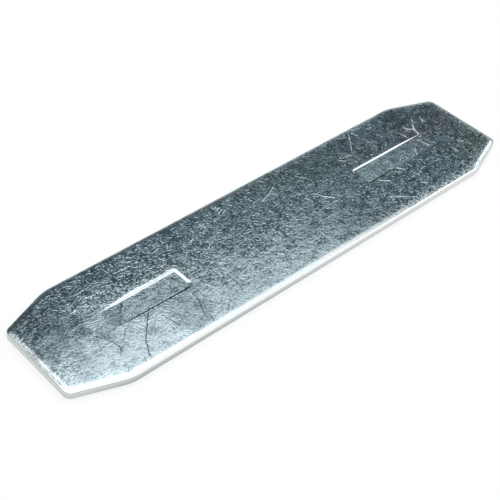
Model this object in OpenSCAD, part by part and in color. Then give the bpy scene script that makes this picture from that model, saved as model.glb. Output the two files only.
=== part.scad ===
// Rail connector plate: a flat stamped steel link with two half-sheared barbs.
// It slides into the facing ends of two framing rails, and a barb holds it in each of them.
// All sizes are in millimetres, +X runs along the plate and +Z is up.
// The origin is midway along and across the plate, level with the tips of the barbs.

/* [Plate] */
// Length from end face to end face
plate_len = 140; // [124:1:220]
// Width between the two long sides
plate_wid = 33; // [26:0.5:48]
// Thickness of the sheet
sheet_t = 2; // [1.8:0.1:3]

/* [Corner cuts] */
// Length of the straight slanted edge at each corner
cut_edge = 10.9; // [8:0.1:14]
// How far a slanted edge closes in over a fixed run, which sets its slope
cut_rise = 44; // [36:1:52]
// Outline radius where a slanted edge meets an end face
tip_rad = 2; // [2:0.1:3]
// Outline radius where a slanted edge meets a long side
shoulder_rad = 10; // [4:0.5:12]

/* [Blanked edge] */
// Width of the gentle roll that the blanking punch leaves along the top edge
roll_wid = 1.3; // [0.8:0.1:1.4]
// Slope of the roll where it turns into the edge radius, in degrees
roll_slope = 14; // [8:1:20]
// Radius between the roll and the edge face
edge_rad = 0.45; // [0.3:0.05:0.5]
// Radius left by tumbling on the underside edge
heel_rad = 0.2; // [0.1:0.05:0.4]

/* [Barbs] */
// Distance from the middle of the plate to the catching face of each barb
barb_start = 29.6; // [20:0.1:32]
// Length of the ramp, from the catching face to the line where it runs out
barb_len = 26; // [14:0.5:28]
// Width of the punched recess between its side walls
barb_wid = 5.8; // [5:0.1:10]
// Depth of the ramp at the catching face
barb_drop = 0.6; // [0.5:0.05:1]
// Outline radius of the two corners at the catching face
barb_corner_rad = 0.5; // [0.4:0.1:1.5]
// Width of the roll that the punch leaves round the recess
rim_wid = 0.85; // [0.5:0.05:1]
// Slope of that roll where it meets the wall of the recess, in degrees
rim_slope = 38; // [25:1:45]
// Gap between punch and die, which makes a barb wider below than its recess above
die_gap = 0.1; // [0.05:0.05:0.2]

/* [Hidden] */
// Number of segments drawn on a full circle
$fn = 96;
// Run over which cut_rise is measured: a rise of 44 gives a slant of exactly 125
cut_run = 117;
// Extra reach of a cutting shape past the surface that it cuts
reach = 1;
// How far shapes that are joined lap over each other
lap = 0.1;

half_len = plate_len / 2;
half_wid = plate_wid / 2;

// Directions in which the end, the slanted edge and the long side face, in the quarter with X and Y positive
cut_slant = sqrt(cut_rise * cut_rise + cut_run * cut_run);
end_out = [1, 0];
cut_out = [cut_rise, cut_run] / cut_slant;
side_out = [0, 1];

// Centres of the outline radii in the same quarter, tied through the slanted edge that joins them
cut_along = [-cut_out.y, cut_out.x];
centre_step = (tip_rad - shoulder_rad) * cut_out + cut_edge * cut_along;
tip_centre = [half_len - tip_rad, half_wid - shoulder_rad - centre_step.y];
shoulder_centre = tip_centre + centre_step;

// Whole width and whole drop of the rounded top edge
roll_rad = roll_wid / sin(roll_slope);
edge_wid = roll_wid + edge_rad * (1 - sin(roll_slope));
edge_drop = roll_rad * (1 - cos(roll_slope)) + edge_rad * cos(roll_slope);

// Radius and drop of the roll round a recess
rim_rad = rim_wid / sin(rim_slope);
rim_drop = rim_rad * (1 - cos(rim_slope));

top_z = barb_drop + sheet_t;
ramp_slope = barb_drop / barb_len;

// What blanking takes off the top edge: a gentle roll that ends in a tighter radius
module top_edge_waste() {
    difference() {
        translate([-edge_wid, -edge_drop])
            square([edge_wid + reach, edge_drop + reach]);
        intersection() {
            translate([-edge_wid, -roll_rad])
                circle(roll_rad);
            polygon([
                [-edge_wid, -roll_rad],
                [-edge_wid + 2 * roll_rad * tan(roll_slope), roll_rad],
                [-edge_wid, roll_rad]
            ]);
        }
        translate([-edge_rad, -edge_drop])
            circle(edge_rad);
    }
}

// What tumbling takes off the underside edge
module heel_waste() {
    difference() {
        translate([-heel_rad, -reach])
            square([heel_rad + reach, reach + heel_rad]);
        translate([-heel_rad, heel_rad])
            circle(heel_rad);
    }
}

// Section through the sheet, from the given depth out to its edge face on the Y axis
module sheet_section(depth) {
    difference() {
        translate([-depth, 0])
            square([depth, sheet_t]);
        translate([0, sheet_t])
            top_edge_waste();
        heel_waste();
    }
}

// A straight stretch of edge that faces the given way and runs clockwise from its start
module edge_strip(start, facing, length) {
    translate([start.x, start.y, 0])
        rotate(atan2(facing.y, facing.x))
            rotate([90, 0, 0])
                linear_extrude(length)
                    sheet_section(edge_wid + 2 * lap);
}

// A rounded corner of the outline, from one facing to the next
module edge_corner(centre, radius, first, last) {
    translate([centre.x, centre.y, 0])
        intersection() {
            rotate(180)
                rotate_extrude()
                    translate([radius, 0])
                        sheet_section(radius);
            translate([0, 0, -reach])
                linear_extrude(sheet_t + 2 * reach)
                    polygon([[0, 0], 2 * radius * first, 2 * radius * (first + last), 2 * radius * last]);
        }
}

module flat_body() {
    inset = edge_wid + lap;
    linear_extrude(sheet_t)
        polygon([
            [0, 0],
            [half_len - inset, 0],
            tip_centre + (tip_rad - inset) * end_out,
            tip_centre + (tip_rad - inset) * cut_out,
            shoulder_centre + (shoulder_rad - inset) * cut_out,
            shoulder_centre + (shoulder_rad - inset) * side_out,
            [0, half_wid - inset]
        ]);
}

module plate_quarter() {
    flat_body();
    edge_strip(tip_centre + tip_rad * end_out, end_out, tip_centre.y);
    edge_corner(tip_centre, tip_rad, end_out, cut_out);
    edge_strip(shoulder_centre + shoulder_rad * cut_out, cut_out, cut_edge);
    edge_corner(shoulder_centre, shoulder_rad, cut_out, side_out);
    edge_strip([0, half_wid], side_out, shoulder_centre.x);
}

module blank() {
    for (flip_x = [0, 1], flip_y = [0, 1])
        mirror([flip_x, 0, 0])
            mirror([0, flip_y, 0])
                plate_quarter();
}

// Outline of a barb, with rounded corners at its catching face and an open outer end
module barb_outline(width) {
    for (side = [-1, 1])
        translate([barb_corner_rad, side * (width / 2 - barb_corner_rad)])
            circle(barb_corner_rad);
    translate([0, barb_corner_rad - width / 2])
        square([2 * barb_corner_rad, width - 2 * barb_corner_rad]);
    translate([barb_corner_rad, -width / 2])
        square([barb_len + reach - barb_corner_rad, width]);
}

// Everything above the ramp, which runs out on the surface at the end of its length
module above_ramp() {
    lead = rim_wid + reach;
    rotate([90, 0, 0])
        linear_extrude(barb_wid + 2 * lead, center = true)
            polygon([
                [-lead, -ramp_slope * (barb_len + lead)],
                [barb_len + reach, ramp_slope * reach],
                [barb_len + reach, reach],
                [-lead, reach]
            ]);
}

// Section of the rolled rim, with the recess's wall on the Y axis and the surface on the X axis
module rim_section() {
    difference() {
        translate([lap - barb_corner_rad, -rim_drop - lap])
            square([barb_corner_rad - lap + rim_wid, rim_drop + lap + reach]);
        translate([rim_wid, -rim_rad])
            circle(rim_rad);
    }
}

module rim_waste() {
    corner_y = barb_wid / 2 - barb_corner_rad;
    for (side = [0, 1])
        mirror([0, side, 0]) {
            translate([barb_corner_rad, barb_wid / 2, 0])
                rotate(90)
                    rotate([90, 0, 0])
                        linear_extrude(barb_len + reach - barb_corner_rad)
                            rim_section();
            translate([barb_corner_rad, corner_y, 0])
                rotate(90)
                    rotate_extrude(angle = 90)
                        translate([barb_corner_rad, 0])
                            rim_section();
        }
    rotate(180)
        rotate([90, 0, 0])
            linear_extrude(2 * corner_y, center = true)
                rim_section();
}

// The recess that the punch leaves in the top face, drawn with that face at Z = 0
module barb_recess() {
    intersection() {
        above_ramp();
        union() {
            translate([0, 0, -barb_drop - reach])
                linear_extrude(barb_drop + 2 * reach)
                    barb_outline(barb_wid);
            rim_waste();
        }
    }
}

// The barb that stands below the sheet, drawn with the underside at Z = 0
module barb_body() {
    buried = (sheet_t - barb_drop) / 2;
    intersection() {
        rotate([90, 0, 0])
            linear_extrude(barb_wid + 2 * reach, center = true)
                polygon([
                    [-reach, -ramp_slope * (barb_len + reach)],
                    [barb_len, 0],
                    [barb_len, buried],
                    [-reach, buried]
                ]);
        translate([0, 0, -barb_drop - reach])
            linear_extrude(barb_drop + 2 * reach)
                barb_outline(barb_wid + 2 * die_gap);
    }
}

module connector_plate() {
    color("LightSteelBlue")
        difference() {
            union() {
                translate([0, 0, barb_drop])
                    blank();
                for (end = [0, 1])
                    mirror([end, 0, 0])
                        translate([barb_start, 0, barb_drop])
                            barb_body();
            }
            for (end = [0, 1])
                mirror([end, 0, 0])
                    translate([barb_start + die_gap, 0, top_z])
                        barb_recess();
        }
}

connector_plate();
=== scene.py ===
import math
import random
import bpy
from mathutils import Matrix, Vector
from mathutils.geometry import delaunay_2d_cdt
from mathutils.kdtree import KDTree


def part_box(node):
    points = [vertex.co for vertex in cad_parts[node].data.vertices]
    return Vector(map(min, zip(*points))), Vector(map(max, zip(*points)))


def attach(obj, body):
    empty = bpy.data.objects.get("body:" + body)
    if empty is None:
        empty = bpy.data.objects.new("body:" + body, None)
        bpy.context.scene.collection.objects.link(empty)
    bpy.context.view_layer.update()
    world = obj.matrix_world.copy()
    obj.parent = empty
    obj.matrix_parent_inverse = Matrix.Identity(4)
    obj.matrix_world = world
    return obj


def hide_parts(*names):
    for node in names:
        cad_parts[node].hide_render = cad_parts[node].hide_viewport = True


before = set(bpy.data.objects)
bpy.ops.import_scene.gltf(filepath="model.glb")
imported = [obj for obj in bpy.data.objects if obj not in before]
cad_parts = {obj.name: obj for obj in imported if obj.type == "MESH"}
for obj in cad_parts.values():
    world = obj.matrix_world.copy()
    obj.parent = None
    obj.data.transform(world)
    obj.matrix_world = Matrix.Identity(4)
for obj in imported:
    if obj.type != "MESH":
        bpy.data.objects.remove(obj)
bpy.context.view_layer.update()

mm = 0.001  # shapes are drawn in millimetres and stored in metres
plateNode = "connector_plate"

# kinds of node and settings that turn up often
mathNode, rangeNode, mixNode = "ShaderNodeMath", "ShaderNodeMapRange", "ShaderNodeMix"
vectorNode, splitNode, noiseNode = "ShaderNodeVectorMath", "ShaderNodeSeparateXYZ", "ShaderNodeTexNoise"
plus, minus, multiply = {"operation": "ADD"}, {"operation": "SUBTRACT"}, {"operation": "MULTIPLY"}
multiplyAdd, divide = {"operation": "MULTIPLY_ADD"}, {"operation": "DIVIDE"}
smoothStep = {"interpolation_type": "SMOOTHSTEP"}
mixColor = {"data_type": "RGBA"}


def hexColor(code):
    parts = [int(code[i:i + 2], 16) / 255 for i in (1, 3, 5)]
    linear = [c / 12.92 if c <= 0.04045 else ((c + 0.055) / 1.055) ** 2.4 for c in parts]
    return (*linear, 1.0)


def clamp(value, low=0, high=1):
    return min(high, max(low, value))


# adds a node and gives its outputs; inputs go by name or number, and a Map Range has
# the value, the two ends that it reads and the two that it gives
def addNode(tree, kind, settings=None, inputs=None):
    node = tree.nodes.new(kind)
    for name, value in (settings or {}).items():
        setattr(node, name, value)
    for key, value in (inputs or {}).items():
        if isinstance(value, bpy.types.NodeSocket):
            tree.links.new(value, node.inputs[key])
        else:
            node.inputs[key].default_value = value
    return node.outputs


def newMesh(name, points, edges, faces):
    mesh = bpy.data.meshes.new(name)
    mesh.from_pydata([Vector(p) * mm for p in points], edges, faces)
    obj = bpy.data.objects.new(name, mesh)
    bpy.context.scene.collection.objects.link(obj)
    return obj


plateSpec = {
    "sheet": 2.0,  # thickness of the sheet
    "cutEdge": 10.9,  # straight length of a slanted corner
    "cutOut": (0.352, 0.936),  # the way a slanted corner faces
    "tipRadius": 2.0,
    "shoulderRadius": 10.0,
    "rollWide": 1.3,  # gentle roll left along the top by the blanking punch
    "rollSlope": 14.0,
    "edgeRadius": 0.45,
    "heelRadius": 0.2,
    "outlineParts": {"end": 20, "tip": 10, "cut": 20, "shoulder": 6, "side": 100},  # in a quarter
    "profileParts": {"heel": 4, "wall": 8, "edge": 10, "roll": 10},  # from the underside to the top
    "grid": 0.6,  # spacing of the points on the top face
    "underCoarser": 1.5,  # times that on the underside
    "jitter": 0.2,  # share of the spacing that a point may stray
    "gaps": {"edge": 0.35, "heel": 0.5, "line": 0.3, "scratch": 0.6},  # kept clear of points
    "sharpAngle": 50.0,
    "seed": 7,
}

boxLow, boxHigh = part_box(plateNode)
halfLen = (boxHigh.x - boxLow.x) / 2 / mm
halfWide = (boxHigh.y - boxLow.y) / 2 / mm
topZ = boxHigh.z / mm
underZ = topZ - plateSpec["sheet"]
rollTilt = math.radians(plateSpec["rollSlope"])
rollRadius = plateSpec["rollWide"] / math.sin(rollTilt)
edgeWide = plateSpec["rollWide"] + plateSpec["edgeRadius"] * (1 - math.sin(rollTilt))
edgeDrop = rollRadius * (1 - math.cos(rollTilt)) + plateSpec["edgeRadius"] * math.cos(rollTilt)

# centres of the two radii at a corner, tied through the slanted edge between them
cutX, cutY = plateSpec["cutOut"]
cutAngle = math.atan2(cutY, cutX)
radiusStep = plateSpec["tipRadius"] - plateSpec["shoulderRadius"]
centreStep = (radiusStep * cutX - plateSpec["cutEdge"] * cutY,
              radiusStep * cutY + plateSpec["cutEdge"] * cutX)
tipCentre = (halfLen - plateSpec["tipRadius"], halfWide - plateSpec["shoulderRadius"] - centreStep[1])
shoulderCentre = (tipCentre[0] + centreStep[0], tipCentre[1] + centreStep[1])


def stretch(start, end, parts):  # points from start up to, but without, end
    return [tuple(a + (b - a) * i / parts for a, b in zip(start, end)) for i in range(parts)]


def onArc(centre, radius, angle):
    return (centre[0] + radius * math.cos(angle), centre[1] + radius * math.sin(angle))


def outlineRing(inset):  # the outline drawn in by inset, always with the same number of points
    tip, shoulder = plateSpec["tipRadius"] - inset, plateSpec["shoulderRadius"] - inset
    parts = plateSpec["outlineParts"]
    turn = math.pi / 2 - cutAngle
    cutStart, cutEnd = onArc(tipCentre, tip, cutAngle), onArc(shoulderCentre, shoulder, cutAngle)
    sideStart, sideEnd = onArc(shoulderCentre, shoulder, math.pi / 2), (0, halfWide - inset)
    quarter = stretch((halfLen - inset, 0), onArc(tipCentre, tip, 0), parts["end"])
    quarter += [onArc(tipCentre, tip, cutAngle * i / parts["tip"]) for i in range(parts["tip"])]
    quarter += stretch(cutStart, cutEnd, parts["cut"])
    for i in range(parts["shoulder"]):
        quarter.append(onArc(shoulderCentre, shoulder, cutAngle + turn * i / parts["shoulder"]))
    quarter += stretch(sideStart, sideEnd, parts["side"]) + [sideEnd]
    back = quarter[::-1]
    ring = quarter[:-1] + [(-x, y) for x, y in back][:-1]
    return ring + [(-x, -y) for x, y in quarter][:-1] + [(x, -y) for x, y in back][:-1]


def edgeProfile():  # inset and height of each ring, from the underside round to the top
    heel, tight, parts = plateSpec["heelRadius"], plateSpec["edgeRadius"], plateSpec["profileParts"]
    rings = []
    for i in range(parts["heel"] + 1):
        turn = math.pi / 2 * i / parts["heel"]
        rings.append((heel * (1 - math.sin(turn)), underZ + heel * (1 - math.cos(turn))))
    wallTop = topZ - edgeDrop
    for i in range(1, parts["wall"] + 1):
        rings.append((0, underZ + heel + (wallTop - underZ - heel) * i / parts["wall"]))
    for i in range(1, parts["edge"] + 1):
        tilt = math.pi / 2 + (rollTilt - math.pi / 2) * i / parts["edge"]
        rings.append((tight * (1 - math.sin(tilt)), wallTop + tight * math.cos(tilt)))
    for i in range(1, parts["roll"] + 1):
        tilt = rollTilt * (1 - i / parts["roll"])
        rings.append((edgeWide - rollRadius * math.sin(tilt), topZ - rollRadius * (1 - math.cos(tilt))))
    return rings


def insideBy(x, y):  # how far a point lies inside the plate's outline
    cut = cutX * tipCentre[0] + cutY * tipCentre[1] + plateSpec["tipRadius"]
    return min(halfLen - abs(x), halfWide - abs(y), cut - cutX * abs(x) - cutY * abs(y))


barbSpec = {
    "start": 29.6,  # from the middle of the plate to a catching face
    "length": 26.0,  # of the ramp
    "wide": 5.8,  # of the recess between its walls
    "drop": 0.6,  # of the ramp at the catching face
    "cornerRadius": 0.5,
    "rimWide": 0.85,  # roll that the punch leaves round the recess
    "rimSlope": 38.0,
    "rimEnds": (21.9, 26.0),  # how far along the ramp the roll dies away, left and right
    "rimFade": (8.0, 11.0),  # the length over which it does
    "rimFull": (0.9, 0.7),  # share of the roll that each recess shows
    "rimNear": 0.4,  # share of that left on the near side, which the punch cut cleaner
    "rimTurn": 0.8,  # width over which the near share comes in
    "blend": 4.0,  # length over which the left ramp, the shallower one, runs out into the surface
    "dieGap": 0.1,  # the barb is this much wider below on each side
    "tipRadius": 0.15,  # worn edge of the barb below
    "rootRadius": 0.1,
    "wallLean": 0.03,  # the punched walls lean in by this much
    "crevice": 0.6,  # width of the painted shade along the foot of a wall
    # how finely the mesh follows all this
    "lineParts": {"side": 52, "corner": 8, "end": 12},
    "creaseParts": 80,
    "rimLines": 8,
    "rimStop": 0.8,  # its lines stop this far before the roll dies away
    "footLine": 0.06,  # from a wall's foot to the first line on the ramp
    "tipLines": (1, 0.6, 0.3, 0.1, 0),  # shares of the worn edge's radius
    "rootLines": (0, 0.3, 1),
}
recessStart = barbSpec["start"] + barbSpec["dieGap"]
barbWide = barbSpec["wide"] + 2 * barbSpec["dieGap"]
rimRadius = barbSpec["rimWide"] / math.sin(math.radians(barbSpec["rimSlope"]))
rimDrop = rimRadius * (1 - math.cos(math.radians(barbSpec["rimSlope"])))


def fromBarb(x, y, start, wide):  # way along the ramp, and distance outside the barb's outline
    along = abs(x) - start
    corner = barbSpec["cornerRadius"]
    inX, inY = corner - along, abs(y) - (wide / 2 - corner)
    if inX > 0 and inY > 0:
        return along, math.hypot(inX, inY) - corner
    return along, max(-along, abs(y) - wide / 2)


def rimShare(x, y):  # how much of the full roll there is
    end, fade, full = (barbSpec[k][x > 0] for k in ("rimEnds", "rimFade", "rimFull"))
    t = clamp((end - abs(x) + recessStart) / fade)
    far = clamp((y + barbSpec["wide"] / 2) / barbSpec["rimTurn"])
    return full * t * t * (3 - 2 * t) * (far + barbSpec["rimNear"] * (1 - far))


def fullShare(x, y):  # for lines that keep their distance all along
    return 1


def rampDepth(along):
    return barbSpec["drop"] * (1 - along / barbSpec["length"])


def recessDepth(x):
    along = abs(x) - recessStart
    t = clamp((barbSpec["rimEnds"][0] - along) / barbSpec["blend"]) if x < 0 else 1
    return rampDepth(along) * t * t * (3 - 2 * t)


def topHeight(x, y):
    along, out = fromBarb(x, y, recessStart, barbSpec["wide"])
    share, lean = rimShare(x, y), barbSpec["wallLean"]
    wide, radius = barbSpec["rimWide"] * share, rimRadius * share
    if along >= barbSpec["length"] or out >= wide and out >= 0:
        return topZ
    depth = recessDepth(x)
    if out <= -lean:
        return topZ - depth
    if out < 0:
        wallTop = min(depth, rimDrop * share)
        return topZ - wallTop - (depth - wallTop) * -out / lean
    return topZ - min(depth, radius - math.sqrt(radius * radius - (wide - out) ** 2))


def underHeight(x, y):
    along, out = fromBarb(x, y, barbSpec["start"], barbWide)
    tip, root, lean = barbSpec["tipRadius"], barbSpec["rootRadius"], barbSpec["wallLean"]
    if out >= root or along >= barbSpec["length"]:
        return underZ
    full = rampDepth(max(along, 0))
    rootDepth = min(full, root)
    tipDepth = max(rootDepth, full - tip)
    if out >= 0:
        return underZ - min(full, root - math.sqrt(root * root - (root - out) ** 2))
    if out > -lean:
        return underZ - rootDepth - (tipDepth - rootDepth) * -out / lean
    inner = min(tip, -out - lean)
    rounded = full - tip + math.sqrt(tip * tip - (tip - inner) ** 2)
    return underZ - min(full, max(rootDepth, rounded))


# a line that runs round a barb, at a set distance from its outline times the share there
def barbLine(side, start, wide, out, stop, shareAt):
    corner, parts = barbSpec["cornerRadius"], barbSpec["lineParts"]
    half, turns = wide / 2 - corner, parts["corner"]
    edge = []
    for i in range(parts["side"]):
        along = stop + (corner - stop) * i / parts["side"]
        edge.append((start + along, wide / 2 + out * shareAt(side * (start + along), wide)))
    out *= shareAt(side * start, wide)
    far, near = (start + corner, half), (start + corner, -half)
    points = edge + [onArc(far, corner + out, math.pi / 2 * (1 + i / turns)) for i in range(turns)]
    points += stretch((start - out, half), (start - out, -half), parts["end"])
    points += [onArc(near, corner + out, math.pi * (1 + i / (2 * turns))) for i in range(turns + 1)]
    points += [(x, -y) for x, y in reversed(edge)]
    return [(side * x, y) for x, y in points]


def rampCrease(side, edge):  # line where the ramp cuts into the roll of its recess
    points = []
    for i in range(barbSpec["creaseParts"]):
        x = side * (recessStart + barbSpec["length"] * i / barbSpec["creaseParts"])
        share, depth = rimShare(x, edge * barbSpec["wide"]), recessDepth(x)
        if depth < rimDrop * share:
            cutBack = math.sqrt(2 * rimRadius * share * depth - depth * depth)
            out = barbSpec["rimWide"] * share - cutBack
            points.append((x, edge * (barbSpec["wide"] / 2 + out)))
    return points


scratchSpec = {
    "width": 0.28,  # of a groove, lips not counted
    "depth": 0.035,
    "lip": 0.008,  # height of the metal pushed up along a groove
    "pitch": 0.35,  # spacing of points along a groove
    "rails": (-1, -0.5, 0.5, 1),  # rows of points beside it, in widths
    "dentSize": 9.0,  # gentle dents all over
    "dentDepth": 0.06,
    "dentNoise": (1.0, 0.4),  # detail and roughness
    "topSlope": (0.9, 0.98),  # how level a face is before it takes grooves
    "sideSlope": (0.2, 0.8),  # and how steep before it counts as a side
}
darkScratches = [  # points on the top face, in millimetres
    [(-42.6, -3.9), (-44.2, -5.5), (-48, -9.8), (-50.2, -14)],
    [(-40.8, -6), (-40.2, -6.6)],
    [(-40.4, -7.3), (-39.9, -8.8), (-39.5, -10.7)],
    [(-31, -4.9), (-31, -7.1), (-32.9, -11.2)],
    [(-55.7, -2.2), (-54.6, -4.1)],
    [(-54.3, -4.8), (-53.8, -6), (-53.5, -8.2), (-54.1, -9)],
    [(-45.4, 2.3), (-46.7, 0.7)],
]
brightScratches = [
    [(-20.6, 8.1), (-19.1, 8.6)],
    [(-18.7, 3.7), (-17.5, 4.4)],
    [(-8.6, 14.3), (-8.4, 13.5), (-7.5, 13.9)],
    [(-7.1, 13.2), (-8.3, 12.7)],
    [(-6.8, 12.4), (-7.9, 12)],
    [(-6.1, 11.7), (-7.4, 11.2)],
    [(3.2, 8.5), (6.7, 9.7), (8.8, 10.8)],
    [(15.3, 2.6), (16.4, 0.3), (18.1, -1.5)],
    [(-9.3, -12.7), (-8.4, -14.4)],
    [(39.9, 14.6), (37.9, 11.9), (35.3, 8.9)],
    [(58.7, 8.7), (57.4, 7.1), (56.1, 5.5), (55.2, 2.9)],
    [(57.2, 7.2), (55.8, 5.4), (54.9, 3)],
    [(54.2, 7), (54.7, 6.1), (56, 5.2)],
    [(53.8, 6.4), (55.3, 5.2), (55.5, 3.6)],
    [(60.6, 7.2), (60.9, 6.2)],
    [(29.7, -10.1), (31.5, -11.6), (33.8, -13.5), (35.1, -14.7)],
    [(32.3, -4.1), (33.8, -5.4)],
    [(39.3, -2.9), (40.8, -5.1)],
    [(53.2, 0), (53.9, -2.2)],
    [(44.6, -7.3), (46.2, -7.5)],
    [(40.2, -11.1), (41.3, -12.2)],
    [(32.6, 8.2), (33.7, 7.8)],
    [(48.2, -2.7), (49.8, -0.4)],
    [(60.3, 6.1), (61.4, 8.2)],
    [(40.9, 14), (41.3, 12.3)],
    [(61.6, -5.4), (62.6, -6.5)],
    [(29.6, 8.4), (31, 6.9)],
    [(45.3, 0.8), (46.6, 0.5)],
    [(53, 1.6), (53.3, 1)],
]
faintScratches = [
    [(-60, 1.7), (-56.3, 2.7), (-53.8, 1.4), (-50.2, 0.8)],
    [(-55.8, 3.4), (-53.7, 2.7)],
    [(-55.5, 6.5), (-54.3, 6.7), (-52.6, 5.2)],
    [(-31, -2.6), (-41, -2.6)],
    [(29.1, 2.3), (29, 0.7), (28.9, -1.2)],
    [(32, -3.6), (37.2, -3.5), (38.3, -4.2), (38.1, -5.4), (37.1, -7.2)],
    [(42.9, 4.8), (43.8, 3.5)],
]
# each kind by its input in the node tree: the attribute it fills, share of the full depth, paths
scratchKinds = {
    "Dark Paths": ("darkScratch", 0.4, darkScratches),  # old, worn shallow
    "Bright Paths": ("brightScratch", 1.0, brightScratches),
    "Faint Paths": ("faintScratch", 0.4, faintScratches),
}


def resample(path, pitch):
    points = []
    for a, b in zip(path, path[1:]):
        parts = max(1, round(math.dist(a, b) / pitch))
        points += stretch(a, b, parts)
    return points + [path[-1]]


def scratchRails(points):  # points beside a groove, so that the mesh can follow its sides
    rails = []
    for i, (x, y) in enumerate(points):
        before, after = points[max(i - 1, 0)], points[min(i + 1, len(points) - 1)]
        run = Vector((after[0] - before[0], after[1] - before[1])).normalized()
        for side in scratchSpec["rails"]:
            rails.append((x - run.y * side * scratchSpec["width"], y + run.x * side * scratchSpec["width"]))
    return rails


def fillFace(boundary, lines, loose, heightAt):  # triangles that fill a boundary and keep the lines
    points, edges = list(boundary), []
    for line in lines:
        first = len(points)
        points += line
        edges += [(i, i + 1) for i in range(first, len(points) - 1)]
    points += loose
    outer = list(range(len(boundary)))
    found = delaunay_2d_cdt([Vector(p) for p in points], edges, [outer], 1, 1e-5)
    flat, triangles, cameFrom = found[0], found[2], found[3]
    owner = [min(ids) if ids and min(ids) < len(boundary) else None for ids in cameFrom]
    return [(v.x, v.y, heightAt(v.x, v.y)) for v in flat], triangles, owner


def gridPoints(spacing, edgeGap, scratches, keepOff, rng):  # loose points on a shaken grid
    points = []
    jitter, scratchGap = plateSpec["jitter"], plateSpec["gaps"]["scratch"] * spacing
    for row in range(int(2 * halfWide / spacing)):
        for column in range(int(2 * halfLen / spacing)):
            stray = rng.uniform(-jitter, jitter)
            x = -halfLen + (column + 0.5 * (row % 2) + 0.5 + stray) * spacing
            y = -halfWide + (row + 0.5 + rng.uniform(-jitter, jitter)) * spacing
            if insideBy(x, y) <= edgeGap or not keepOff(x, y):
                continue
            if scratches is None or scratches.find((x, y, 0))[2] > scratchGap:
                points.append((x, y))
    return points


def clearOfRecess(x, y):
    along, out = fromBarb(x, y, recessStart, barbSpec["wide"])
    gap, rim = plateSpec["gaps"]["line"], barbSpec["rimWide"] * rimShare(x, abs(y))
    return along > barbSpec["length"] + gap or not -barbSpec["crevice"] - gap < out < rim + gap


def clearOfBarb(x, y):
    along, out = fromBarb(x, y, barbSpec["start"], barbWide)
    gap, tip = plateSpec["gaps"]["line"], barbSpec["wallLean"] + barbSpec["tipRadius"]
    return along > barbSpec["length"] + gap or not -tip - gap < out < barbSpec["rootRadius"] + gap


def topCap(boundary, rng):
    length, lean, lines = barbSpec["length"], barbSpec["wallLean"], []
    for side in (-1, 1):
        for out in (-barbSpec["crevice"], -lean - barbSpec["footLine"], -lean, 0):
            lines.append(barbLine(side, recessStart, barbSpec["wide"], out, length, fullShare))
        stop = barbSpec["rimEnds"][side > 0] - barbSpec["rimStop"]
        for i in range(1, barbSpec["rimLines"] + 1):
            out = barbSpec["rimWide"] * i / barbSpec["rimLines"]
            lines.append(barbLine(side, recessStart, barbSpec["wide"], out, stop, rimShare))
    lines += [rampCrease(side, edge) for side in (-1, 1) for edge in (-1, 1)]
    grooves = []
    for kind in scratchKinds.values():
        grooves += [resample(path, scratchSpec["pitch"]) for path in kind[2]]
    rails = [p for line in grooves for p in scratchRails(line)]
    nearRails = KDTree(len(rails))
    for i, p in enumerate(rails):
        nearRails.insert((*p, 0), i)
    nearRails.balance()
    edgeGap = edgeWide + plateSpec["gaps"]["edge"]
    loose = rails + gridPoints(plateSpec["grid"], edgeGap, nearRails, clearOfRecess, rng)
    return fillFace(boundary, lines + grooves, loose, topHeight)


def underCap(boundary, rng):
    length, lean = barbSpec["length"], barbSpec["wallLean"]
    steps = [-lean - barbSpec["tipRadius"] * s for s in barbSpec["tipLines"]]
    steps += [barbSpec["rootRadius"] * s for s in barbSpec["rootLines"]]
    lines = [barbLine(side, barbSpec["start"], barbWide, out, length, fullShare)
             for side in (-1, 1) for out in steps]
    spacing = plateSpec["underCoarser"] * plateSpec["grid"]
    edgeGap = plateSpec["heelRadius"] + plateSpec["gaps"]["heel"]
    return fillFace(boundary, lines, gridPoints(spacing, edgeGap, None, clearOfBarb, rng), underHeight)


wearAndPaintedLightSpec = {  # where the plating is scuffed, burnished or pitted, and where shade and highlight are painted: places in millimetres, shares from 0 to 1
    "nearStrip": -8,  # the strip along the near side lies below this y
    "farStrip": 8,  # and the one along the far side above this
    "scuffWide": (2.6, 3.4),  # scuffed border of the top face, along the far side and elsewhere
    "scuffFrom": (-10, -30),  # x where it begins, elsewhere and along the near side
    "scuffGrow": 40,  # length over which it grows from there
    "scuffMost": 0.7,
    "scuffRoll": {"inset": 0.4, "wide": 0.8, "least": 0.5},  # the near roll itself stays bright
    "rollPast": 0.1,  # the burnish and painted highlight of the rolled edge reach this far past it
    "rollFade": 0.8,
    "leftEnd": {"before": -67.5, "above": -9, "share": 0.5},  # before this x and above this y
    "nearLeft": {"before": 30, "below": 0, "share": 1},  # the brightest stretch of the painted highlight
    "nearRight": 0.7,
    "farEdge": 0.15,
    "rims": 0.8,  # burnish round the recesses
    "leftFoot": 0.2,  # painted shade along the foot of the walls, left recess
    "rightFoot": {"full": 1.4, "fade": 8, "least": 0.1},  # and right one, along the ramp
    # lines of painted shade along the near rims, wider at the deep end of each recess
    "leftLine": {"wide": 0.4, "more": 0.3, "moreTo": 10, "from": 0.5, "full": 3.5, "fade": 6},
    "rightLine": {"below": 2.2, "wide": 0.5, "slim": 0.24, "slimFrom": 9,
                  "full": 1.8, "fade": 9, "least": 0.5},
    # pits along the left end
    "pits": {"before": -66, "above": -10, "inset": (0.5, 2.2), "chance": 0.35, "depth": (0.3, 0.9)},
    "topDepth": 1,  # faces more than this above the underside can show wear
}


def scuffAt(x, y, inside):
    nearSide, roll = y < wearAndPaintedLightSpec["nearStrip"], wearAndPaintedLightSpec["scuffRoll"]
    border = max(0, 1 - inside / wearAndPaintedLightSpec["scuffWide"][y < wearAndPaintedLightSpec["farStrip"]])
    border *= clamp((x - wearAndPaintedLightSpec["scuffFrom"][nearSide]) / wearAndPaintedLightSpec["scuffGrow"])
    if nearSide:
        border *= clamp((inside - roll["inset"]) / roll["wide"], roll["least"])
    return min(wearAndPaintedLightSpec["scuffMost"], border)


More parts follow.
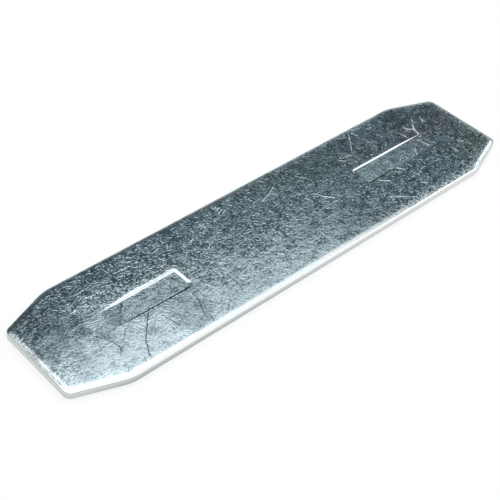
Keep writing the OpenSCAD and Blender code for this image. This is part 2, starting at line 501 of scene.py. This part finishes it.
def burnishAndSheenAt(x, y, inside):  # burnish of the rolled edge, and painted highlight: strongest along the near side, faint along the far side and the right end
    leftEnd, nearLeft = wearAndPaintedLightSpec["leftEnd"], wearAndPaintedLightSpec["nearLeft"]
    if x < leftEnd["before"] and y > leftEnd["above"]:
        share = leftEnd["share"]
    elif y < nearLeft["below"] and x < nearLeft["before"]:
        share = nearLeft["share"]
    else:
        share = wearAndPaintedLightSpec["nearRight"] if y < wearAndPaintedLightSpec["nearStrip"] else wearAndPaintedLightSpec["farEdge"]
    return clamp((edgeWide + wearAndPaintedLightSpec["rollPast"] - inside) / wearAndPaintedLightSpec["rollFade"]) * share


# painted shade along the foot of the recess walls and along their near rims, and the dark of the real pits
# along the left end
def shadeAndPitsAt(x, y, along, out, inside, rng):
    length, pits = barbSpec["length"], wearAndPaintedLightSpec["pits"]
    foot, left, right = wearAndPaintedLightSpec["rightFoot"], wearAndPaintedLightSpec["leftLine"], wearAndPaintedLightSpec["rightLine"]
    if out < 0 and along < length:  # painted shade at the foot of the walls
        fade = clamp(foot["full"] - along / foot["fade"], foot["least"]) if x > 0 else wearAndPaintedLightSpec["leftFoot"]
        return max(0, 1 + out / barbSpec["crevice"]) * fade
    leftWide = left["wide"] + left["more"] * max(0, 1 - along / left["moreTo"])
    if x < 0 and y < 0 and out < leftWide and along > left["from"]:  # painted shade along the near rim, left recess
        return clamp(left["full"] - along / left["fade"])
    if x > 0 and y < right["below"] and out < right["wide"] and along < length:  # painted shade along the near rim, right recess
        if out < right["slim"] or along < right["slimFrom"]:
            return clamp(right["full"] - along / right["fade"], right["least"])
        return 0
    if x < pits["before"] and y > pits["above"] and pits["inset"][0] < inside < pits["inset"][1]:
        if rng.random() < pits["chance"]:
            return rng.uniform(*pits["depth"])
    return 0


def markWearAndPaintedLight(obj, points, rng):  # stores the wear, the painted shade and the painted highlight of the top face on its points, for the material
    names = ("pressed", "crevice", "rubbed", "burnishAndPaintedSheen")
    for name in names:
        obj.data.attributes.new(name, "FLOAT", "POINT")
    pressed, crevice, rubbed, burnishAndPaintedSheen = (obj.data.attributes[name].data for name in names)
    for i, (x, y, z) in enumerate(points):
        if z < underZ + wearAndPaintedLightSpec["topDepth"]:
            continue
        along, out = fromBarb(x, y, recessStart, barbSpec["wide"])
        inside, onRamp = insideBy(x, y), along < barbSpec["length"]
        onRim = onRamp and 0 <= out < barbSpec["rimWide"] * rimShare(x, y)
        rubbed[i].value = scuffAt(x, y, inside)
        burnishAndPaintedSheen[i].value = max(burnishAndSheenAt(x, y, inside), wearAndPaintedLightSpec["rims"] * onRim)
        pressed[i].value = float(onRamp and out < 0)
        crevice[i].value = shadeAndPitsAt(x, y, along, out, inside, rng)


def buildPlate():
    rng = random.Random(plateSpec["seed"])
    points, faces = [], []
    rings = [[(x, y, height) for x, y in outlineRing(inset)] for inset, height in edgeProfile()]
    around = len(rings[0])
    for ring in rings:
        points += ring
    for level in range(len(rings) - 1):
        low, high = level * around, (level + 1) * around
        for i in range(around):
            j = (i + 1) % around
            faces.append((low + i, low + j, high + j, high + i))
    topFace = topCap([p[:2] for p in rings[-1]], rng)
    underFace = underCap([p[:2] for p in rings[0]], rng)
    topStart = (len(rings) - 1) * around
    for (places, triangles, owner), ringStart, flip in ((topFace, topStart, False), (underFace, 0, True)):
        index = []
        for place, mine in zip(places, owner):
            if mine is None:
                index.append(len(points))
                points.append(place)
            else:
                index.append(ringStart + mine)
        for t in triangles:
            corners = [index[i] for i in t]
            faces.append(corners[::-1] if flip else corners)
    obj = newMesh("connectorPlate", points, [], faces)
    markWearAndPaintedLight(obj, points, rng)
    return obj


def pathObject(name, paths):  # the grooves' middle lines, laid on the top face
    points, edges = [], []
    for path in paths:
        first = len(points)
        points += [(x, y, topHeight(x, y)) for x, y in resample(path, scratchSpec["pitch"])]
        edges += [(i, i + 1) for i in range(first, len(points) - 1)]
    return newMesh(name, points, edges, [])


# presses grooves along paths and gentle dents all over, and stores where the grooves and sides are
def reliefTree():
    tree = bpy.data.node_groups.new("tumbledRelief", "GeometryNodeTree")
    kinds = [("Geometry", "Geometry"), ("Material", "Material")]
    kinds += [(name, "Object") for name in scratchKinds]
    kinds += [(name, "Float") for name in ("Groove Width", "Groove Depth", "Lip", "Dent Size", "Dent Depth")]
    made = {}
    for name, kind in kinds:
        socket = tree.interface.new_socket(name=name, in_out="INPUT", socket_type="NodeSocket" + kind)
        made[name] = socket.identifier
    tree.interface.new_socket(name="Geometry", in_out="OUTPUT", socket_type="NodeSocketGeometry")
    source = addNode(tree, "NodeGroupInput")
    width, store = source["Groove Width"], {"data_type": "FLOAT", "domain": "POINT"}
    half = addNode(tree, mathNode, multiply, {0: width, 1: 0.5})[0]
    normal = addNode(tree, "GeometryNodeInputNormal")[0]
    upward = addNode(tree, splitNode, None, {0: normal})[2]
    low, high = scratchSpec["topSlope"]
    onTop = addNode(tree, rangeNode, smoothStep, {0: upward, 1: low, 2: high})[0]
    level = addNode(tree, mathNode, {"operation": "ABSOLUTE"}, {0: upward})[0]
    low, high = scratchSpec["sideSlope"]
    sideways = addNode(tree, rangeNode, smoothStep, {0: level, 1: low, 2: high, 3: 1.0, 4: 0.0})[0]
    shape = addNode(tree, "GeometryNodeStoreNamedAttribute", store,
                    {"Geometry": source["Geometry"], "Name": "sideFace", "Value": sideways})[0]
    grooves = None
    for name, (attribute, share, paths) in scratchKinds.items():
        lines = addNode(tree, "GeometryNodeObjectInfo", None, {0: source[name]})["Geometry"]
        distance = addNode(tree, "GeometryNodeProximity", {"target_element": "EDGES"},
                           {0: lines})["Distance"]
        inGroove = addNode(tree, rangeNode, smoothStep,
                           {0: distance, 1: 0.0, 2: half, 3: 1.0, 4: 0.0})[0]
        amount = addNode(tree, mathNode, multiply, {0: inGroove, 1: onTop})[0]
        shape = addNode(tree, "GeometryNodeStoreNamedAttribute", store,
                        {"Geometry": shape, "Name": attribute, "Value": amount})[0]
        beside = addNode(tree, rangeNode, smoothStep,
                         {0: distance, 1: half, 2: width, 3: 1.0, 4: 0.0})[0]
        onLip = addNode(tree, mathNode, minus, {0: beside, 1: inGroove})[0]
        lip = addNode(tree, mathNode, multiply, {0: onLip, 1: source["Lip"]})[0]
        cut = addNode(tree, mathNode, multiply, {0: inGroove, 1: source["Groove Depth"]})[0]
        profile = addNode(tree, mathNode, minus, {0: lip, 1: cut})[0]
        profile = addNode(tree, mathNode, multiply, {0: profile, 1: share})[0]
        if grooves is not None:
            profile = addNode(tree, mathNode, plus, {0: grooves, 1: profile})[0]
        grooves = profile
    grooves = addNode(tree, mathNode, multiply, {0: grooves, 1: onTop})[0]
    fine = addNode(tree, mathNode, divide, {0: 1.0, 1: source["Dent Size"]})[0]
    detail, roughness = scratchSpec["dentNoise"]
    dents = addNode(tree, noiseNode, None,
                    {"Scale": fine, "Detail": detail, "Roughness": roughness})[0]
    sunk = addNode(tree, mathNode, multiply, {0: dents, 1: source["Dent Depth"]})[0]
    total = addNode(tree, mathNode, minus, {0: grooves, 1: sunk})[0]
    offset = addNode(tree, vectorNode, {"operation": "SCALE"}, {0: normal, "Scale": total})[0]
    shape = addNode(tree, "GeometryNodeSetPosition", None, {"Geometry": shape, "Offset": offset})[0]
    shape = addNode(tree, "GeometryNodeRealizeInstances", None, {0: shape})[0]
    shape = addNode(tree, "GeometryNodeSetMaterial", None,
                    {"Geometry": shape, "Material": source["Material"]})[0]
    addNode(tree, "NodeGroupOutput", None, {0: shape})
    return tree, made


zincSpec = {
    "light": "#d0e0e6",  # bare crystals of the plating
    "dull": "#7f929b",  # passivated film between them
    "edgeLow": "#b0b6b6",  # torn lower half of the sheared sides, darker also as painted shade of the floor's shadow that the sides reflect
    "edgeHigh": "#d8dcdc",  # burnished upper half
    "edgeEnds": "#e2e5e4",  # sides towards both ends, painted light: lighter than the rest of the sides
    "rolled": "#f0f2f2",  # rolled edges, burnished by the punch, and painted highlight where the near sides catch the lamps
    "shine": "#e0ebef",  # floor of a fresh scratch
    "soot": "#48525a",  # floor of an old scratch
    "shade": "#222c3c",  # painted shade along the foot of a wall and along the near rims of the recesses, also the dark of the pits
    "pressedTint": "#c0d8dd",  # floor of a punched recess
    # noises: size in millimetres, detail and roughness
    "grain": (0.62, 2.0, 0.55),  # tumbled mottle, coarser than real crystals so that it shows
    "patch": (2.4, 2.0, 0.5),  # clusters that the mottle gathers in
    "wave": (1.7, 1.0, 0.5),  # slow swell of the surface
    "cloud": (7.0, 3.0, 0.55),  # slow change of gloss
    "drift": (7.0, 3.0, 0.6),  # ragged edges of the stains and of the patches of painted shade
    # relief, in millimetres
    "waveHeight": 0.024,
    "crystalHeight": 0.006,
    "smoothest": 0.25,  # share of the relief left where it is burnished
    # the mottle
    "gather": 0.62,  # how far it follows the clusters
    "raisedFrom": (0.5, 0.66),  # levels between which a crystal rises
    "fleckFrom": (0.3, 0.55),  # and between which it clears
    "freshFleck": 0.8,  # even level where the plate was handled least
    "freshShare": 0.6,  # share of the mottle left there
    # shares of the tints
    "faintShine": 0.4,
    "brokenShine": (0.3, 1.0),  # along a scratch, least and most
    "brokenFrom": (0.35, 0.55),  # levels of the swell between which it changes
    "sootFull": 0.35,  # level in a groove from which it is full
    "sootShare": 0.9,
    "shadeShare": 0.9,
    "rolledShare": 0.8,
    "tearAndShade": (0.3, 0.6),  # the torn, painted-shade half starts this far above the underside, and ends below the top
    "tearAndShadeRise": 0.008,  # it runs lower towards the right, painted light that makes the sides lighter there
    # roughness of the film, least and most, and what else adds to it
    "roughness": (0.085, 0.13),
    "cloudFrom": (0.3, 0.7),  # levels of the cloud noise that give them
    "rougher": {"fresh": 0.08, "burnishAndPaintedSheen": -0.05, "side": 0.16, "marks": 8.0,
                "bright": 0.5, "pressed": 0.06, "rubbed": 0.26},
    "scuff": (0.1, 1.3),  # share of a scuff on the low and high parts of the grain
    "scuffFrom": (0.4, 0.6),  # levels of the grain that count as such
}
rampSpec = {  # slow changes over the plate: way, start and end in millimetres, values there
    "worn": ("diagonal", -75, -25, 0.3, 1.0),  # the near left corner was handled least
    "leftEnd": ("x", -57, -65, 0.0, 0.75),  # but not the end itself
    "offCorner": ("y", -12, -6, 0.0, 1.0),
    "nearSide": ("y", 0, -8, 1.0, 1.3),  # marks lie deeper along the near side
    "recessFilm": ("x", 32, 52, 0.55, 0.25),  # tint in the right recess
    "leftSide": ("x", -56, -66, 0.0, 0.4),  # painted light on the sides towards both ends
    "rightSide": ("x", -10, 50, 0.0, 0.4),
}
stainsAndShade = [  # faint colours that the passivation lays over the plating, and grey patches of painted shade that darken spots of the top face, in millimetres
    {"color": "#c9d5e2", "at": (42, -8, 0), "size": (15, 6, 50), "amount": 0.3},
    {"color": "#eed8c2", "at": (64, -8, 0), "size": (8, 7, 50), "amount": 0.5},
    {"color": "#f9d2dd", "at": (59, 3, 0), "size": (15, 11, 50), "amount": 0.5},
    {"color": "#f9d2dd", "at": (37, 7, 0), "size": (15, 6, 50), "amount": 0.4},
    # the grey patches from here on are painted shade that darkens spots of the top face; the tinted ones
    # above are the passivation's colours
    {"color": "#92969a", "at": (57, 11, 0), "size": (13, 6, 50), "amount": 0.45},
    {"color": "#cbccc0", "at": (22, 11, 0), "size": (14, 5, 50), "amount": 0.35},
    {"color": "#cbccd0", "at": (36, 13, 0), "size": (5, 4, 50), "amount": 0.5},
    {"color": "#9ca5aa", "at": (-64, 2, 0), "size": (9, 16, 50), "amount": 0.55},
    {"color": "#a9adb2", "at": (-64, 9, 0), "size": (8, 8, 50), "amount": 0.5},
    {"color": "#b7bcc1", "at": (-56, 0, 0), "size": (8, 6, 50), "amount": 0.4},
    {"color": "#a9adb2", "at": (-52, 13, 0), "size": (18, 4, 50), "amount": 0.4},
    {"color": "#c4bec1", "at": (-55, -10, 0), "size": (15, 9, 50), "amount": 0.35},
    {"color": "#bcc1c4", "at": (-36, -9, 0), "size": (7, 7, 50), "amount": 0.55},
    {"color": "#bcc1c4", "at": (18, -10, 0), "size": (13, 8, 50), "amount": 0.42},
]
stainAndShadeEdge = {"apart": 0.4, "ragged": -3.0, "inner": -1.2, "outer": -0.5}  # apart is in metres
dashLayers = [  # tumbling marks, one per cell, in millimetres and wider than real ones so that they show
    {"cell": 0.8, "length": 0.6, "width": 0.26, "depth": 0.014, "shift": 17.0},
    {"cell": 1.2, "length": 1.1, "width": 0.2, "depth": 0.014, "shift": 0.0},
    {"cell": 2.1, "length": 2.0, "width": 0.2, "depth": 0.017, "shift": 31.0},
    {"cell": 6.0, "length": 3.8, "width": 0.22, "depth": 0.018, "shift": 43.0},
]
dashChance = {"from": 0.3, "deepest": 1.1}  # cells below this draw have no mark


def tumblingMarks(tree, place):  # depth of the dashes that the other parts in the barrel leave
    marks = None
    for layer in dashLayers:
        shift, length, width = (layer[k] * mm for k in ("shift", "length", "width"))
        spot = addNode(tree, vectorNode, plus, {0: place, 1: (shift, shift, 0)})[0]
        cells = addNode(tree, "ShaderNodeTexVoronoi", {"voronoi_dimensions": "2D"},
                        {"Vector": spot, "Scale": 1 / (layer["cell"] * mm)})
        chance = addNode(tree, "ShaderNodeSeparateColor", None, {0: cells["Color"]})
        local = addNode(tree, vectorNode, minus, {0: spot, 1: cells["Position"]})[0]
        turn = addNode(tree, mathNode, multiply, {0: chance[0], 1: math.tau})[0]
        turned = addNode(tree, "ShaderNodeVectorRotate", {"rotation_type": "Z_AXIS"},
                         {"Vector": local, "Angle": turn})[0]
        apart = addNode(tree, vectorNode, {"operation": "ABSOLUTE"}, {0: turned})[0]
        reach = addNode(tree, splitNode, None, {0: apart})
        along = addNode(tree, rangeNode, smoothStep,
                        {0: reach[0], 1: 0.25 * length, 2: 0.5 * length, 3: 1.0, 4: 0.0})[0]
        across = addNode(tree, rangeNode, smoothStep,
                         {0: reach[1], 1: 0.0, 2: 0.5 * width, 3: layer["depth"], 4: 0.0})[0]
        depth = addNode(tree, mathNode, multiply, {0: along, 1: across})[0]
        strong = addNode(tree, rangeNode, None, {0: chance[1], 1: dashChance["from"], 2: 1.0,
                                                 3: 0.0, 4: dashChance["deepest"]})[0]
        depth = addNode(tree, mathNode, multiply, {0: depth, 1: strong})[0]
        if marks is not None:
            depth = addNode(tree, mathNode, plus, {0: marks, 1: depth})[0]
        marks = depth
    return marks


def stainedAndShaded(tree, place, tone):  # lays the passivation's colours and the painted shade of the grey patches over the tone
    size, detail, roughness = zincSpec["drift"]
    for i, blot in enumerate(stainsAndShade):
        moved = addNode(tree, vectorNode, plus, {0: place, 1: (stainAndShadeEdge["apart"] * i, 0, 0)})[0]
        drift = addNode(tree, noiseNode, None, {"Vector": moved, "Scale": 1 / (size * mm),
                                                "Detail": detail, "Roughness": roughness})[0]
        local = addNode(tree, vectorNode, minus, {0: place, 1: Vector(blot["at"]) * mm})[0]
        local = addNode(tree, vectorNode, divide, {0: local, 1: Vector(blot["size"]) * mm})[0]
        away = addNode(tree, vectorNode, {"operation": "LENGTH"}, {0: local})["Value"]
        away = addNode(tree, mathNode, multiplyAdd, {0: drift, 1: stainAndShadeEdge["ragged"], 2: away})[0]
        share = addNode(tree, rangeNode, smoothStep, {0: away, 1: stainAndShadeEdge["inner"], 2: stainAndShadeEdge["outer"],
                                                      3: blot["amount"], 4: 0.0})[0]
        tone = addNode(tree, mixNode, {"data_type": "RGBA", "blend_type": "MULTIPLY"},
                       {0: share, 6: tone, 7: hexColor(blot["color"])})[2]
    return tone


def shearedSides(tree, x, z, ramps):  # colour of the cut sides: torn and darker below, partly as painted shade, burnished above, and painted lighter towards both ends
    # the darker lower half is torn metal and painted shade; its upper line runs lower to the right as painted
    # light
    upper = addNode(tree, mathNode, multiplyAdd, {0: x, 1: zincSpec["tearAndShadeRise"], 2: z})[0]
    low, high = underZ + zincSpec["tearAndShade"][0], topZ - zincSpec["tearAndShade"][1]
    upper = addNode(tree, rangeNode, None, {0: upper, 1: low * mm, 2: high * mm})[0]
    tone = addNode(tree, mixNode, mixColor, {0: upper, 6: hexColor(zincSpec["edgeLow"]),
                                             7: hexColor(zincSpec["edgeHigh"])})[2]
    # painted light: the sides are made lighter towards both ends
    ends = addNode(tree, mathNode, plus, {0: ramps["leftSide"], 1: ramps["rightSide"]})[0]
    return addNode(tree, mixNode, mixColor, {0: ends, 6: tone, 7: hexColor(zincSpec["edgeEnds"])})[2]


# barrel zinc plate on mild steel: bluish and glossy, with the fine mottle and marks of the tumbling
def zincPlated():
    material = bpy.data.materials.new("barrelZincPlate")
    material.use_nodes = True
    tree = material.node_tree
    tree.nodes.clear()
    place = addNode(tree, "ShaderNodeTexCoord")["Object"]
    x, y, z = addNode(tree, splitNode, None, {0: place})
    side, bright, faint, dark, pressed, crevice, rubbed, burnishAndPaintedSheen = (
        addNode(tree, "ShaderNodeAttribute", {"attribute_name": name})["Fac"]
        for name in ("sideFace", "brightScratch", "faintScratch", "darkScratch",
                     "pressed", "crevice", "rubbed", "burnishAndPaintedSheen"))
    noises = []
    for size, detail, roughness in (zincSpec[k] for k in ("grain", "patch", "wave", "cloud")):
        noises.append(addNode(tree, noiseNode, None, {"Vector": place, "Scale": 1 / (size * mm),
                                                      "Detail": detail, "Roughness": roughness})[0])
    grain, patch, wave, cloud = noises
    ways = {"x": x, "y": y}
    ways["diagonal"] = addNode(tree, mathNode, multiplyAdd, {0: y, 1: 2.0, 2: x})[0]  # y counts twice
    ramps = {}
    for name, (way, start, end, first, last) in rampSpec.items():
        ramps[name] = addNode(tree, rangeNode, None, {0: ways[way], 1: start * mm, 2: end * mm,
                                                      3: first, 4: last})[0]
    leftEnd = addNode(tree, mathNode, multiply, {0: ramps["leftEnd"], 1: ramps["offCorner"]})[0]
    worn = addNode(tree, mathNode, {"operation": "MAXIMUM"}, {0: ramps["worn"], 1: leftEnd})[0]

    # relief of the crystals, the swell and the marks, in millimetres
    gather = zincSpec["gather"]
    dense = addNode(tree, mathNode, multiplyAdd, {0: patch, 1: gather, 2: -0.5 * gather})[0]
    crowd = addNode(tree, mathNode, plus, {0: grain, 1: dense})[0]
    low, high = zincSpec["raisedFrom"]
    raised = addNode(tree, rangeNode, smoothStep, {0: crowd, 1: low, 2: high,
                                                   3: 0.0, 4: zincSpec["crystalHeight"]})[0]
    swell = addNode(tree, mathNode, multiplyAdd, {0: wave, 1: zincSpec["waveHeight"], 2: raised})[0]
    marks = tumblingMarks(tree, place)
    relief = addNode(tree, mathNode, minus, {0: swell, 1: marks})[0]
    smooth = addNode(tree, rangeNode, None, {0: burnishAndPaintedSheen, 3: 1.0, 4: zincSpec["smoothest"]})[0]
    amount = addNode(tree, mathNode, multiply, {0: worn, 1: smooth})[0]
    amount = addNode(tree, mathNode, multiply, {0: amount, 1: ramps["nearSide"]})[0]
    height = addNode(tree, mathNode, multiply, {0: relief, 1: amount})[0]
    bump = addNode(tree, "ShaderNodeBump", None, {"Strength": 1.0, "Distance": mm, "Height": height})[0]

    # tone of the film and the crystals
    low, high = zincSpec["fleckFrom"]
    fleck = addNode(tree, rangeNode, smoothStep, {0: crowd, 1: low, 2: high})[0]
    handled = addNode(tree, rangeNode, None, {0: worn, 3: zincSpec["freshShare"], 4: 1.0})[0]
    handled = addNode(tree, mathNode, multiply, {0: handled, 1: smooth})[0]
    fleck = addNode(tree, mixNode, {"data_type": "FLOAT"},
                    {0: handled, 2: zincSpec["freshFleck"], 3: fleck})[0]
    tone = addNode(tree, mixNode, mixColor, {0: fleck, 6: hexColor(zincSpec["dull"]),
                                             7: hexColor(zincSpec["light"])})[2]
    tone = stainedAndShaded(tree, place, tone)

    # tints laid over it, the last one on top
    onRight = addNode(tree, mathNode, {"operation": "GREATER_THAN"}, {0: x, 1: 0.0})[0]
    flat = addNode(tree, mathNode, multiply, {0: pressed, 1: ramps["recessFilm"]})[0]
    flat = addNode(tree, mathNode, multiply, {0: flat, 1: onRight})[0]
    # rolled edges whitened: burnish, and painted highlight that is strongest along the near sides
    burnishAndSheenShare = addNode(tree, mathNode, multiply, {0: burnishAndPaintedSheen, 1: zincSpec["rolledShare"]})[0]
    # painted shade at the feet of the recess walls and along their near rims, plus the dark of the pits at
    # the left end
    paintedShadeAndPits = addNode(tree, mathNode, multiply, {0: crevice, 1: zincSpec["shadeShare"]})[0]
    low, high = zincSpec["brokenFrom"]
    least, most = zincSpec["brokenShine"]
    broken = addNode(tree, rangeNode, smoothStep, {0: wave, 1: low, 2: high, 3: least, 4: most})[0]
    bright = addNode(tree, mathNode, multiplyAdd, {0: faint, 1: zincSpec["faintShine"], 2: bright})[0]
    bright = addNode(tree, mathNode, multiply, {0: bright, 1: broken})[0]
    dark = addNode(tree, rangeNode, smoothStep, {0: dark, 1: 0.0, 2: zincSpec["sootFull"],
                                                 4: zincSpec["sootShare"]})[0]
    layers = ((flat, hexColor(zincSpec["pressedTint"])), (burnishAndSheenShare, hexColor(zincSpec["rolled"])),
              (side, shearedSides(tree, x, z, ramps)), (paintedShadeAndPits, hexColor(zincSpec["shade"])),
              (bright, hexColor(zincSpec["shine"])), (dark, hexColor(zincSpec["soot"])))
    for share, color in layers:
        tone = addNode(tree, mixNode, mixColor, {0: share, 6: tone, 7: color})[2]

    # gloss
    low, high = zincSpec["cloudFrom"]
    least, most = zincSpec["roughness"]
    rough = addNode(tree, rangeNode, None, {0: cloud, 1: low, 2: high, 3: least, 4: most})[0]
    low, high = zincSpec["scuffFrom"]
    least, most = zincSpec["scuff"]
    scuff = addNode(tree, rangeNode, None, {0: grain, 1: low, 2: high, 3: least, 4: most})[0]
    rubbed = addNode(tree, mathNode, multiply, {0: rubbed, 1: scuff})[0]
    fresh = addNode(tree, mathNode, minus, {0: 1.0, 1: worn})[0]
    causes = {"fresh": fresh, "burnishAndPaintedSheen": burnishAndPaintedSheen, "side": side, "marks": marks,
              "bright": bright, "pressed": pressed, "rubbed": rubbed}
    for name, more in zincSpec["rougher"].items():
        rough = addNode(tree, mathNode, multiplyAdd, {0: causes[name], 1: more, 2: rough})[0]
    shader = addNode(tree, "ShaderNodeBsdfPrincipled", None,
                     {"Base Color": tone, "Metallic": 1.0, "Roughness": rough, "Normal": bump})[0]
    addNode(tree, "ShaderNodeOutputMaterial", None, {0: shader})
    return material


zinc = zincPlated()
print("zinc:", len(zinc.node_tree.nodes), "nodes")

plate = buildPlate()
pathObjects = {name: pathObject(kind[0], kind[2]) for name, kind in scratchKinds.items()}
tree, sockets = reliefTree()
relief = plate.modifiers.new("relief", "NODES")
relief.node_group = tree
sizes = {"Groove Width": "width", "Groove Depth": "depth", "Lip": "lip",
         "Dent Size": "dentSize", "Dent Depth": "dentDepth"}
for name, key in sizes.items():
    relief[sockets[name]] = scratchSpec[key] * mm
for name, paths in pathObjects.items():
    relief[sockets[name]] = paths
relief[sockets["Material"]] = zinc
shaped = bpy.data.meshes.new_from_object(plate.evaluated_get(bpy.context.evaluated_depsgraph_get()))
plate.modifiers.clear()
plate.data = shaped
for paths in pathObjects.values():
    bpy.data.objects.remove(paths)
shaped.shade_smooth()
shaped.set_sharp_from_angle(angle=math.radians(plateSpec["sharpAngle"]))
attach(plate, "root")
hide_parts(plateNode)
print("plate:", len(shaped.polygons), "faces")


floorSpec = {
    "color": "#fcfcfc",
    "glow": 0.79,  # share of plain white in what is seen of the floor, the rest keeps the shadow
    "reach": 2500,
}


def stageFloor():  # matt white board under the plate, which shows as the photo's white ground
    far = floorSpec["reach"]
    corners = [(-far, -far, 0), (far, -far, 0), (far, far, 0), (-far, far, 0)]
    floor = newMesh("floor", corners, [], [(0, 1, 2, 3)])
    material = bpy.data.materials.new("mattWhiteBoard")
    material.use_nodes = True
    tree = material.node_tree
    tree.nodes.clear()
    rays = addNode(tree, "ShaderNodeLightPath")
    seen = addNode(tree, mathNode, plus, {0: rays["Is Camera Ray"], 1: rays["Is Glossy Ray"]})[0]
    seen = addNode(tree, mathNode, {"operation": "ADD", "use_clamp": True},
                   {0: seen, 1: rays["Is Transmission Ray"]})[0]
    share = addNode(tree, mathNode, multiply, {0: seen, 1: floorSpec["glow"]})[0]
    matt = addNode(tree, "ShaderNodeBsdfDiffuse", None, {0: hexColor(floorSpec["color"])})[0]
    glow = addNode(tree, "ShaderNodeEmission", None, {0: hexColor("#ffffff"), 1: 1.0})[0]
    both = addNode(tree, "ShaderNodeMixShader", None, {0: share, 1: matt, 2: glow})[0]
    addNode(tree, "ShaderNodeOutputMaterial", None, {0: both})
    floor.data.materials.append(material)


stageFloor()
print("floor laid")

panelHeight = 800
# soft panels, in millimetres: hung level unless they have an aim, and turned about their own axis
panelSpec = [
    {"name": "keyFar", "place": (-58, 319, panelHeight), "size": (1400, 425), "turn": -5, "watts": 1.88},
    {"name": "keyOverhead", "place": (-90, -42, panelHeight), "size": (1400, 300), "turn": -5, "watts": 0.62},
    {"name": "keyNear", "place": (-132, -517, panelHeight), "size": (1400, 653), "turn": -5, "watts": 2.89},
    {"name": "keyBorder", "place": (-36, 585, panelHeight), "size": (1400, 110), "turn": -5, "watts": 0.34},
    {"name": "farRightPanel", "place": (580, 365, panelHeight), "size": (280, 390), "watts": 0.27},
    {"name": "cornerPanel", "place": (200, 400, 780), "size": (380, 330), "turn": -8, "watts": 0.5},
    {"name": "nearRightPanel", "place": (925, -390, panelHeight), "size": (650, 1030), "watts": 2.9},
    {"name": "chamferPanel", "place": (1100, 295, panelHeight), "size": (320, 230), "watts": 0.42},
    {"name": "frontPanel", "place": (850, -720, 480), "size": (1300, 900), "watts": 1.6,
     "aim": (0, 0, 0)},
]


def softPanel(spec):
    light = bpy.data.lights.new(spec["name"], "AREA")
    light.shape = "RECTANGLE"
    light.size, light.size_y = (s * mm for s in spec["size"])
    light.energy = spec["watts"]
    panel = bpy.data.objects.new(spec["name"], light)
    place = Vector(spec["place"])
    below = (place.x, place.y, 0)
    aim = (Vector(spec.get("aim", below)) - place).to_track_quat("-Z", "Y").to_matrix()
    panel.location = place * mm
    panel.rotation_euler = (aim @ Matrix.Rotation(math.radians(spec.get("turn", 0)), 3, "Z")).to_euler()
    panel.visible_camera = False
    bpy.context.scene.collection.objects.link(panel)


for spec in panelSpec:
    softPanel(spec)
print("lamps:", len(panelSpec))

worldSpec = {
    "room": "#cacccc",
    "dim": "#5d6a6e",
    "high": (0.3, 0.5),  # how far up the dim part starts, as the sine of the angle
    "beyond": (0.0, 0.8),  # and how far off to the right and back
}


def studioWorld():  # a pale room, dim and cool high up beyond the plate
    world = bpy.data.worlds.new("studio")
    bpy.context.scene.world = world
    world.use_nodes = True
    tree = world.node_tree
    tree.nodes.clear()
    way = addNode(tree, "ShaderNodeTexCoord")["Generated"]
    right, back, up = addNode(tree, splitNode, None, {0: way})
    low, top = worldSpec["high"]
    high = addNode(tree, rangeNode, None, {0: up, 1: low, 2: top})[0]
    away = addNode(tree, mathNode, plus, {0: right, 1: back})[0]
    near, far = worldSpec["beyond"]
    beyond = addNode(tree, rangeNode, None, {0: away, 1: near, 2: far})[0]
    dim = addNode(tree, mathNode, multiply, {0: high, 1: beyond})[0]
    color = addNode(tree, mixNode, mixColor, {0: dim, 6: hexColor(worldSpec["room"]),
                                              7: hexColor(worldSpec["dim"])})[2]
    shader = addNode(tree, "ShaderNodeBackground", None, {0: color, 1: 1.0})[0]
    addNode(tree, "ShaderNodeOutputWorld", None, {0: shader})


studioWorld()
print("world set")

cameraSpec = {
    "place": (-150.8, -141.6, 181.7),  # from the middle of the top face
    "target": (-11.26, -2.74, 0),
    "roll": 4.47,
    "lens": 81.75,
    "sensor": 36,
    "clip": 10,
}


def stageCamera():
    data = bpy.data.cameras.new("camera")
    data.lens = cameraSpec["lens"]
    data.sensor_width = cameraSpec["sensor"]
    data.clip_start = cameraSpec["clip"] * mm
    camera = bpy.data.objects.new("camera", data)
    lift = Vector((0, 0, topZ))
    place, target = Vector(cameraSpec["place"]) + lift, Vector(cameraSpec["target"]) + lift
    aim = (target - place).to_track_quat("-Z", "Y").to_matrix().to_4x4()
    turn = aim @ Matrix.Rotation(math.radians(cameraSpec["roll"]), 4, "Z")
    camera.matrix_world = Matrix.Translation(place * mm) @ turn
    bpy.context.scene.collection.objects.link(camera)
    bpy.context.scene.camera = camera


stageCamera()
print("camera placed")
bpy.context.scene.view_settings.view_transform = "Standard"
